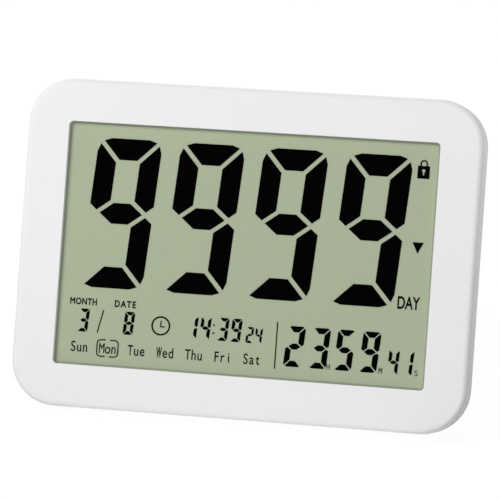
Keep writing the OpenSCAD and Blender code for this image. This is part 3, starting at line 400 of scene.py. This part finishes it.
INK = (0.0006, 0.0006, 0.0007)
INK_SHINE = 0.005
segment_ink, tree, shader = new_finish("segment_ink", INK, roughness=0.6)
tint(tree, shader, grain(tree, scale=40), dark=(0.0004, 0.0004, 0.0005), light=(0.0008, 0.0008, 0.0009))
uneven_gloss(tree, shader, grain(tree, scale=60), low=0.55, high=0.65)
shader.inputs["Specular IOR Level"].default_value = INK_SHINE
dress(segment_ink, "day_segments", "date_segments", "clock_segments", "timer_segments", "lcd_icons")

GLASS = (0.86, 0.93, 0.9)
GLASS_CLEAR = 0.9
GLASS_IOR = 1.52
display_glass, tree, shader = new_finish("display_glass", GLASS, roughness=0.03)
uneven_gloss(tree, shader, grain(tree, scale=30), low=0.02, high=0.05)
shader.inputs["Transmission Weight"].default_value = GLASS_CLEAR
shader.inputs["IOR"].default_value = GLASS_IOR
dress(display_glass, "lcd_front_glass", "lcd_rear_glass")

REFLECTOR = (0.62, 0.64, 0.58)
reflector_film, tree, shader = new_finish("reflector_film", REFLECTOR, roughness=0.35, metallic=0.4)
tint(tree, shader, grain(tree, scale=1200), dark=(0.58, 0.6, 0.54), light=(0.66, 0.68, 0.62))
relief(tree, shader, grain(tree, scale=4000), height=0.01 * MM, strength=0.3)
dress(reflector_film, "lcd_reflector")

# %% [markdown]
# ## Metal
# Screws, pin and crystal can are steel, and the battery contacts are nickel plated. Rolled and turned metal
# has fine lines along one direction, which a noise that is stretched along that direction gives.

# %% Steel, nickel and brass
STEEL = (0.6, 0.6, 0.61)
ALONG_Y = (1, 0.1, 1)
steel, tree, shader = new_finish("steel", STEEL, roughness=0.3, metallic=1.0)
tint(tree, shader, grain(tree, scale=900), dark=(0.54, 0.54, 0.55), light=(0.66, 0.66, 0.67))
uneven_gloss(tree, shader, grain(tree, scale=1500), low=0.24, high=0.4)
relief(tree, shader, grain(tree, scale=2500, stretch=ALONG_Y), height=0.01 * MM, strength=0.2)
dress(steel, "stand_pin", "crystal_can", "case_screws", "board_screws")

NICKEL = (0.7, 0.68, 0.63)
ALONG_Z = (1, 1, 0.1)
nickel, tree, shader = new_finish("nickel_plate", NICKEL, roughness=0.25, metallic=1.0)
tint(tree, shader, grain(tree, scale=400), dark=(0.66, 0.63, 0.58), light=(0.74, 0.72, 0.67))
uneven_gloss(tree, shader, grain(tree, scale=800), low=0.18, high=0.34)
relief(tree, shader, grain(tree, scale=3000, stretch=ALONG_Z), height=0.006 * MM, strength=0.2)
dress(nickel, "positive_contact", "negative_contact", "bridge_contact", "contact_springs")

BRASS = (0.78, 0.57, 0.24)
brass, tree, shader = new_finish("buzzer_brass", BRASS, roughness=0.3, metallic=1.0)
tint(tree, shader, grain(tree, scale=150, detail=5), dark=(0.68, 0.47, 0.18), light=(0.82, 0.62, 0.28))
uneven_gloss(tree, shader, grain(tree, scale=600), low=0.22, high=0.42)
dress(brass, "buzzer_disc")

# %% [markdown]
# ## Electronics
# These pieces are closed in, and show only when the clock is taken apart. The board is green with paler copper
# tracks under the lacquer, the contact strip is made of thin layers of dark and pale rubber, and each cell has
# a sleeve with a band at its positive end.

# %% Board, chip and small parts
LACQUER = (0.02, 0.2, 0.09)
LACQUER_DARK = (0.015, 0.17, 0.075)
TRACK = (0.05, 0.32, 0.14)
TRACK_PITCH = 2.5 * MM
TRACK_SHARE = 0.05
BRICK_ROWS = 4
board_green, tree, shader = new_finish("board_green", LACQUER, roughness=0.3)
place = tree.nodes.new("ShaderNodeTexCoord")
tracks = tree.nodes.new("ShaderNodeTexBrick")
tracks.inputs["Color1"].default_value = (*LACQUER_DARK, 1)
tracks.inputs["Color2"].default_value = (*LACQUER, 1)
tracks.inputs["Mortar"].default_value = (*TRACK, 1)
tracks.inputs["Scale"].default_value = 1 / (BRICK_ROWS * TRACK_PITCH)
tracks.inputs["Mortar Size"].default_value = TRACK_SHARE
tree.links.new(place.outputs["Object"], tracks.inputs["Vector"])
tree.links.new(tracks.outputs["Color"], shader.inputs["Base Color"])
relief(tree, shader, tracks.outputs["Fac"], height=0.03 * MM, strength=0.3)
dress(board_green, "main_board")

RESIN = (0.012, 0.012, 0.013)
chip_resin, tree, shader = new_finish("chip_resin", RESIN, roughness=0.2)
tint(tree, shader, grain(tree, scale=500), dark=(0.01, 0.01, 0.011), light=(0.018, 0.018, 0.02))
relief(tree, shader, grain(tree, scale=350), height=0.05 * MM, strength=0.3)
dress(chip_resin, "chip_cover")

CAPACITOR = (0.02, 0.03, 0.1)
capacitor_sleeve, tree, shader = new_finish("capacitor_sleeve", CAPACITOR, roughness=0.25)
tint(tree, shader, grain(tree, scale=500), dark=(0.016, 0.024, 0.085), light=(0.025, 0.038, 0.12))
dress(capacitor_sleeve, "buffer_capacitor")

RESISTOR = (0.03, 0.03, 0.03)
resistor_body, tree, shader = new_finish("resistor_body", RESISTOR, roughness=0.4)
tint(tree, shader, grain(tree, scale=2000), dark=(0.02, 0.02, 0.02), light=(0.06, 0.06, 0.06))
dress(resistor_body, "chip_resistors")

CERAMIC = (0.82, 0.81, 0.76)
buzzer_white, tree, shader = new_finish("buzzer_ceramic", CERAMIC, roughness=0.35)
tint(tree, shader, grain(tree, scale=250, detail=4), dark=(0.78, 0.77, 0.72), light=(0.85, 0.84, 0.8))
dress(buzzer_white, "buzzer_ceramic")

# %% Striped strip and leads
LAYER_DARK = (0.05, 0.04, 0.045)
LAYER_PALE = (0.75, 0.42, 0.44)
LAYER_PITCH = 0.5 * MM
WAVE_FACTOR = 20
contact_rubber, tree, shader = new_finish("contact_rubber", LAYER_PALE, roughness=0.7)
place = tree.nodes.new("ShaderNodeTexCoord")
layers = tree.nodes.new("ShaderNodeTexWave")
layers.bands_direction = "X"
layers.inputs["Scale"].default_value = 2 * math.pi / (WAVE_FACTOR * LAYER_PITCH)
tree.links.new(place.outputs["Object"], layers.inputs["Vector"])
tint(tree, shader, layers.outputs["Fac"], LAYER_DARK, LAYER_PALE)
dress(contact_rubber, "zebra_strip")


def lead_finish(name, dark, light):
    """Soft insulation of a thin wire."""
    material, tree, shader = new_finish(name, light, roughness=0.4)
    tint(tree, shader, grain(tree, scale=500), dark, light)
    relief(tree, shader, grain(tree, scale=2000), height=0.01 * MM, strength=0.2)
    return material


lead_red = lead_finish("lead_red", dark=(0.45, 0.015, 0.015), light=(0.55, 0.022, 0.02))
lead_black = lead_finish("lead_black", dark=(0.012, 0.012, 0.012), light=(0.022, 0.022, 0.022))
dress(lead_red, "battery_lead_red", "buzzer_leads")
dress(lead_black, "battery_lead_black")

# %% Cells
SLEEVE = (0.03, 0.045, 0.07)
BAND = (0.62, 0.6, 0.55)
BARE = (0.72, 0.72, 0.72)
BAND_LENGTH = 9 * MM
NUB_LENGTH = 1.2 * MM


def cell_finish(name, node, plus_side):
    """Sleeve of a cell, with a pale band and a bare terminal at its positive end along X."""
    material, tree, shader = new_finish(name, SLEEVE, roughness=0.28, metallic=0.6)
    low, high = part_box(node)
    length = high.x - low.x
    start = low.x if plus_side < 0 else high.x
    place = tree.nodes.new("ShaderNodeTexCoord")
    split = tree.nodes.new("ShaderNodeSeparateXYZ")
    along = tree.nodes.new("ShaderNodeMapRange")
    along.inputs["From Min"].default_value = start
    along.inputs["From Max"].default_value = start - plus_side * length
    ramp = tree.nodes.new("ShaderNodeValToRGB")
    ramp.color_ramp.interpolation = "CONSTANT"
    ramp.color_ramp.elements[0].color = (*BARE, 1)
    ramp.color_ramp.elements[1].color = (*SLEEVE, 1)
    ramp.color_ramp.elements[1].position = BAND_LENGTH / length
    band = ramp.color_ramp.elements.new(NUB_LENGTH / length)
    band.color = (*BAND, 1)
    tree.links.new(place.outputs["Object"], split.inputs["Vector"])
    tree.links.new(split.outputs["X"], along.inputs["Value"])
    tree.links.new(along.outputs["Result"], ramp.inputs["Fac"])
    tree.links.new(ramp.outputs["Color"], shader.inputs["Base Color"])
    uneven_gloss(tree, shader, grain(tree, scale=300), low=0.22, high=0.36)
    return material


dress(cell_finish("cell_upper", "battery_upper", plus_side=-1), "battery_upper")
dress(cell_finish("cell_lower", "battery_lower", plus_side=1), "battery_lower")

# %% [markdown]
# ## Words on the display
# The fixed words of the calendar are printed with the same dark as the digits. Text is the natural start: each
# word is set flat, turned into a mesh, stretched to its measured width and height, and laid on the film.
# Printed letters are a little bolder than the font. The text's offset would do that, but it fills the letter M,
# so a bevel thickens them instead, and rounds their edges as ink does. The walls of a text mesh aren't joined
# to its faces, so the doubled points are merged. A spread above 1 sets the letters apart, and the stretch then
# makes them narrower.

# %% Tools that print
INK_T = 0.1 * MM
TEXT_DEPTH = 0.5
BOLD = 0.018
SAME_POINT = 0.0001


def word_mesh(text, bold=BOLD, spread=1.0):
    """Text as a closed mesh near the origin, of font size 1, thickened by bold and spaced by spread."""
    bpy.ops.object.select_all(action="DESELECT")
    bpy.ops.object.text_add()
    word = bpy.context.object
    word.data.body = text
    word.data.space_character = spread
    word.data.extrude = TEXT_DEPTH
    word.data.bevel_depth = bold
    word.data.bevel_resolution = 0
    bpy.ops.object.convert(target="MESH")
    bpy.ops.object.mode_set(mode="EDIT")
    bpy.ops.mesh.select_all(action="SELECT")
    bpy.ops.mesh.remove_doubles(threshold=SAME_POINT)
    bpy.ops.mesh.normals_make_consistent(inside=False)
    bpy.ops.object.mode_set(mode="OBJECT")
    return bpy.context.object


def corners(piece):
    """Lowest and highest corner of a mesh."""
    points = [vertex.co for vertex in piece.data.vertices]
    low = Vector([min(p[i] for p in points) for i in range(3)])
    high = Vector([max(p[i] for p in points) for i in range(3)])
    return low, high


def lay(piece, plane, point, scale, spot):
    """Moves a point of the selected flat piece to a spot on a board, and stretches the piece by scale."""
    stretch = Matrix.Diagonal((*scale, 1))
    place = Matrix.Translation((*spot, 0)) @ stretch @ Matrix.Translation(-point)
    piece.matrix_world = plane @ place
    bpy.ops.object.transform_apply(location=True, rotation=True, scale=True)


def print_word(text, plane, left, right, base, top, thick=INK_T, bold=BOLD, spread=1.0):
    """Word in capitals, stretched to fill the space from left to right and from base to top, in millimetres."""
    word = word_mesh(text, bold, spread)
    low, high = corners(word)
    size = high - low
    scale = ((right - left) * MM / size.x, (top - base) * MM / size.y, thick / size.z)
    lay(word, plane, low, scale, (left * MM, base * MM))
    return word


def join_as(name, pieces):
    """One piece from several."""
    bpy.ops.object.select_all(action="DESELECT")
    for piece in pieces:
        piece.select_set(True)
    bpy.context.view_layer.objects.active = pieces[0]
    bpy.ops.object.join()
    joined = bpy.context.object
    joined.name = name
    joined.data.name = name
    return joined


def finish_piece(piece, material, body):
    """Material and body of a new piece."""
    piece.data.materials.clear()
    piece.data.materials.append(material)
    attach(piece, body)
    print(piece.name, len(piece.data.polygons), "faces")


# %% Calendar and day words
CALENDAR_ROW = {"base": -21.6, "top": -19.2, "bold": 0.026}
DAY_ROW = {"base": -15.2, "top": -10.8}
words = [
    print_word("MONTH", DISPLAY, left=-61.55, right=-51.9, spread=1.1, **CALENDAR_ROW),
    print_word("DATE", DISPLAY, left=-45.4, right=-37.8, spread=1.25, **CALENDAR_ROW),
    print_word("DAY", DISPLAY, left=54.6, right=62.4, **DAY_ROW),
]
finish_piece(join_as("display_words", words), segment_ink, "case")

# %% [markdown]
# The letters under the timer's digits are so small that they look grey on the real display. A paler ink gives
# that from any distance. The strokes of the M run together there, so it is set bolder, and the S is the
# faintest of the three.

# %% Units of the timer
UNIT_INK = (0.065, 0.072, 0.05)
UNIT_SHINE = 0.1
UNIT_TOP = -36.0
UNIT_BASE = -37.9
S_BASE = -38.0
unit_ink, tree, shader = new_finish("unit_ink", UNIT_INK, roughness=0.5)
tint(tree, shader, grain(tree, scale=40), dark=(0.058, 0.064, 0.044), light=(0.072, 0.08, 0.056))
shader.inputs["Specular IOR Level"].default_value = UNIT_SHINE
units = [
    print_word("H", DISPLAY, left=31.3, right=32.5, base=UNIT_BASE, top=UNIT_TOP),
    print_word("M", DISPLAY, left=49.6, right=50.9, base=UNIT_BASE, top=UNIT_TOP, bold=0.045),
    print_word("S", DISPLAY, left=62.1, right=63.3, base=S_BASE, top=UNIT_TOP, bold=0.002),
]
finish_piece(join_as("timer_units", units), unit_ink, "case")

# %% [markdown]
# The weekdays are set like typewriting, every letter in a cell of the same width. A letter that is wider than
# its cell is narrowed to fit, and the W, which loses most, is set bolder.

# %% Weekdays
DAY_NAMES = ["Sun", "Mon", "Tue", "Wed", "Thu", "Fri", "Sat"]
DAY_FIRST = -60.4
DAY_PITCH = 10.33
DAY_BASE = -38.1
DAY_CAP = 3.7
DAY_BOLD = 0.005
LETTER_CELL = 2.15
LETTER_FILL = 0.9
LETTER_NARROW = 0.76
LETTER_BOLD = {"W": 0.025}
capital = word_mesh("H")
cap_low, cap_high = corners(capital)
bpy.data.objects.remove(capital)
letter_scale = DAY_CAP * MM / (cap_high.y - cap_low.y)

letters = []
for day, name in enumerate(DAY_NAMES):
    for cell, letter in enumerate(name):
        mesh = word_mesh(letter, LETTER_BOLD.get(letter, DAY_BOLD))
        low, high = corners(mesh)
        centre = DAY_FIRST + day * DAY_PITCH + (cell + 0.5) * LETTER_CELL
        widest = LETTER_FILL * LETTER_CELL * MM / (high.x - low.x)
        narrow = min(letter_scale * LETTER_NARROW, widest)
        scale = (narrow, letter_scale, INK_T / (high.z - low.z))
        anchor = Vector(((low.x + high.x) / 2, 0, low.z))
        lay(mesh, DISPLAY, anchor, scale, (centre * MM, DAY_BASE * MM))
        letters.append(mesh)
finish_piece(join_as("weekday_names", letters), segment_ink, "case")

# %% [markdown]
# ## Painted shade round the display
# A thin grey line runs round the edge of the window. It is painted shade, where the bezel's edge meets the film.
# It could be a band in the film's material, but then it would have no edge of its own. It starts as a plane of the
# window's size: its corners are rounded, its face is inset and the inner face deleted, which leaves a frame,
# and a small extrusion makes it half as thick as print.

# %% Tools for flat signs
CORNER_STEPS = 6
NO_STRETCH = (1, 1, 1)


def plane_sheet(width, height):
    """Flat sheet round the origin."""
    bpy.ops.object.select_all(action="DESELECT")
    bpy.ops.mesh.primitive_plane_add(size=1)
    sheet = bpy.context.object
    sheet.scale = (width, height, 1)
    bpy.ops.object.transform_apply(location=False, rotation=False, scale=True)
    return sheet


def round_corners(radius, segments=CORNER_STEPS):
    """Rounds the outer corners of the active flat sheet."""
    bpy.ops.object.mode_set(mode="EDIT")
    bpy.ops.mesh.select_all(action="SELECT")
    bpy.ops.mesh.bevel(offset=radius, segments=segments, affect="VERTICES")
    bpy.ops.object.mode_set(mode="OBJECT")


def open_up(rim):
    """Leaves a rim of the active sheet's only face."""
    bpy.ops.object.mode_set(mode="EDIT")
    bpy.ops.mesh.select_mode(type="FACE")
    bpy.ops.mesh.select_all(action="SELECT")
    bpy.ops.mesh.inset(thickness=rim)
    bpy.ops.mesh.delete(type="FACE")
    bpy.ops.object.mode_set(mode="OBJECT")


def thicken(height):
    """Extrudes the active flat sheet upwards into a closed piece."""
    bpy.ops.object.mode_set(mode="EDIT")
    bpy.ops.mesh.select_all(action="SELECT")
    bpy.ops.mesh.extrude_region_move(TRANSFORM_OT_translate={"value": (0, 0, height)})
    bpy.ops.mesh.select_all(action="SELECT")
    bpy.ops.mesh.normals_make_consistent(inside=False)
    bpy.ops.object.mode_set(mode="OBJECT")


# %% Painted shade line round the window
WINDOW_MARGIN = 1.5 * MM
WINDOW_ROUND = 1.5 * MM
# Painted shade: the dark grey of the line along the window's edge, where the bezel meets the film.
EDGE_SHADE = (0.29, 0.32, 0.24)
EDGE_SHADE_W = 0.75 * MM
EDGE_SHADE_T = INK_T / 2
film_low, film_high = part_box("lcd_front_polarizer")
film_size = film_high - film_low
film_rise = (film_size.z - FILM_T * out_of_face.z) / up_the_face.z
edge_shade = plane_sheet(film_size.x - 2 * WINDOW_MARGIN, film_rise - 2 * WINDOW_MARGIN)
round_corners(WINDOW_ROUND)
open_up(EDGE_SHADE_W)
thicken(EDGE_SHADE_T)
lay(edge_shade, DISPLAY, Vector(), NO_STRETCH, (0, 0))
edge_shade.name = "display_edge_shade"

# Material of the painted shade line round the window.
edge_shade_grey, tree, shader = new_finish("edge_shade_grey", EDGE_SHADE, roughness=0.5)
tint(tree, shader, grain(tree, scale=60), dark=(0.275, 0.305, 0.23), light=(0.305, 0.335, 0.25))
shader.inputs["Specular IOR Level"].default_value = FILM_SHINE
finish_piece(edge_shade, edge_shade_grey, "case")

# %% [markdown]
# ## Marks on the back
# Below each button stands what it does: two words, two arrows and a padlock, pad-printed in grey. The arrows
# are three-sided circles with their points rounded. The padlock's shackle is a ring cut in half, whose two ends
# are drawn down to the body. The battery cover has an arrow too, which shows the way it slides. It is raised a
# little, so that a thumb finds it, and a bevel softens its edge.

# %% Grey print and words for the back
MARK = (0.2, 0.205, 0.21)
MARK_T = 0.05 * MM
MARK_DROP = 8.2
WORD_H = 2.1
WORD_W = {"mode": 7.2, "set": 5}
print_grey, tree, shader = new_finish("print_grey", MARK, roughness=0.55)
tint(tree, shader, grain(tree, scale=900), dark=(0.18, 0.185, 0.19), light=(0.23, 0.235, 0.24))
uneven_gloss(tree, shader, grain(tree, scale=500), low=0.48, high=0.62)


def below_button(name):
    """Spot on the back under a button, in millimetres from the keyhole."""
    spot = BACK.inverted() @ middle("button_" + name)
    return spot.x / MM, spot.y / MM - MARK_DROP


def button_word(name):
    """Word of capitals, centred under its button."""
    x, y = below_button(name)
    half_w, half_h = WORD_W[name] / 2, WORD_H / 2
    return print_word(name.upper(), BACK, x - half_w, x + half_w, y - half_h, y + half_h, thick=MARK_T)


words = [button_word(name) for name in WORD_W]
finish_piece(join_as("button_words", words), print_grey, "case")

# %% Arrows
ARROW_R = 1.9 * MM
ARROW_ROUND = 0.25 * MM
ARROW_STEPS = 4


def arrow_sign(turn, radius, height):
    """Triangle with rounded points, one of which shows in the direction turn."""
    bpy.ops.object.select_all(action="DESELECT")
    bpy.ops.mesh.primitive_circle_add(vertices=3, radius=radius, fill_type="NGON", rotation=(0, 0, turn))
    sign = bpy.context.object
    bpy.ops.object.transform_apply(location=False, rotation=True, scale=False)
    round_corners(ARROW_ROUND, ARROW_STEPS)
    thicken(height)
    return sign


def lay_at(sign, spot):
    """Lays a sign on the back at a spot in millimetres."""
    bpy.context.view_layer.objects.active = sign
    lay(sign, BACK, Vector(), NO_STRETCH, (spot[0] * MM, spot[1] * MM))
    return sign


up_sign = lay_at(arrow_sign(0, ARROW_R, MARK_T), below_button("up"))
down_sign = lay_at(arrow_sign(math.pi, ARROW_R, MARK_T), below_button("down"))
finish_piece(join_as("button_arrows", [up_sign, down_sign]), print_grey, "case")

# %% Padlock
LOCK_W = 3 * MM
LOCK_H = 2.3 * MM
LOCK_ROUND = 0.3 * MM
SHACKLE_R = 1.05 * MM
SHACKLE_W = 0.4 * MM
SHACKLE_LEG = 0.6 * MM
RING_STEPS = 32
ON_THE_CUT = 0.004 * MM


def half_ring(radius, width, leg):
    """Upper half of a flat ring, with a leg drawn down from each end."""
    bpy.ops.object.select_all(action="DESELECT")
    bpy.ops.mesh.primitive_circle_add(vertices=RING_STEPS, radius=radius, fill_type="NGON")
    ring = bpy.context.object
    open_up(width)
    bpy.ops.object.mode_set(mode="EDIT")
    bpy.ops.mesh.select_all(action="SELECT")
    bpy.ops.mesh.bisect(plane_co=(0, 0, 0), plane_no=(0, -1, 0), clear_outer=True)
    bpy.ops.mesh.select_mode(type="EDGE")
    bpy.ops.mesh.select_all(action="DESELECT")
    bpy.ops.object.mode_set(mode="OBJECT")
    points = ring.data.vertices
    for edge in ring.data.edges:
        edge.select = all(abs(points[i].co.y) < ON_THE_CUT for i in edge.vertices)
    bpy.ops.object.mode_set(mode="EDIT")
    bpy.ops.mesh.extrude_edges_move(TRANSFORM_OT_translate={"value": (0, -leg, 0)})
    bpy.ops.object.mode_set(mode="OBJECT")
    return ring


lock_x, lock_y = below_button("lock")
shackle = half_ring(SHACKLE_R, SHACKLE_W, SHACKLE_LEG)
thicken(MARK_T)
lay_at(shackle, (lock_x, lock_y + SHACKLE_LEG / MM))
lock_body = plane_sheet(LOCK_W, LOCK_H)
round_corners(LOCK_ROUND)
thicken(MARK_T)
lay_at(lock_body, (lock_x, lock_y - LOCK_H / MM / 2))
finish_piece(join_as("button_padlock", [lock_body, shackle]), print_grey, "case")

# %% Arrow on the battery cover
COVER_ARROW_R = 2.8 * MM
COVER_ARROW_H = 0.3 * MM
ARROW_EDGE = 0.1 * MM
EDGE_STEPS = 3
cover_spot = BACK.inverted() @ middle("battery_cover")
cover_arrow = arrow_sign(math.pi / 2, COVER_ARROW_R, COVER_ARROW_H)
soften = cover_arrow.modifiers.new("soft_edge", "BEVEL")
soften.width = ARROW_EDGE
soften.segments = EDGE_STEPS
bpy.ops.object.modifier_apply(modifier=soften.name)
lay_at(cover_arrow, (cover_spot.x / MM, cover_spot.y / MM))
cover_arrow.name = "cover_arrow"
finish_piece(cover_arrow, print_grey, "battery_door")
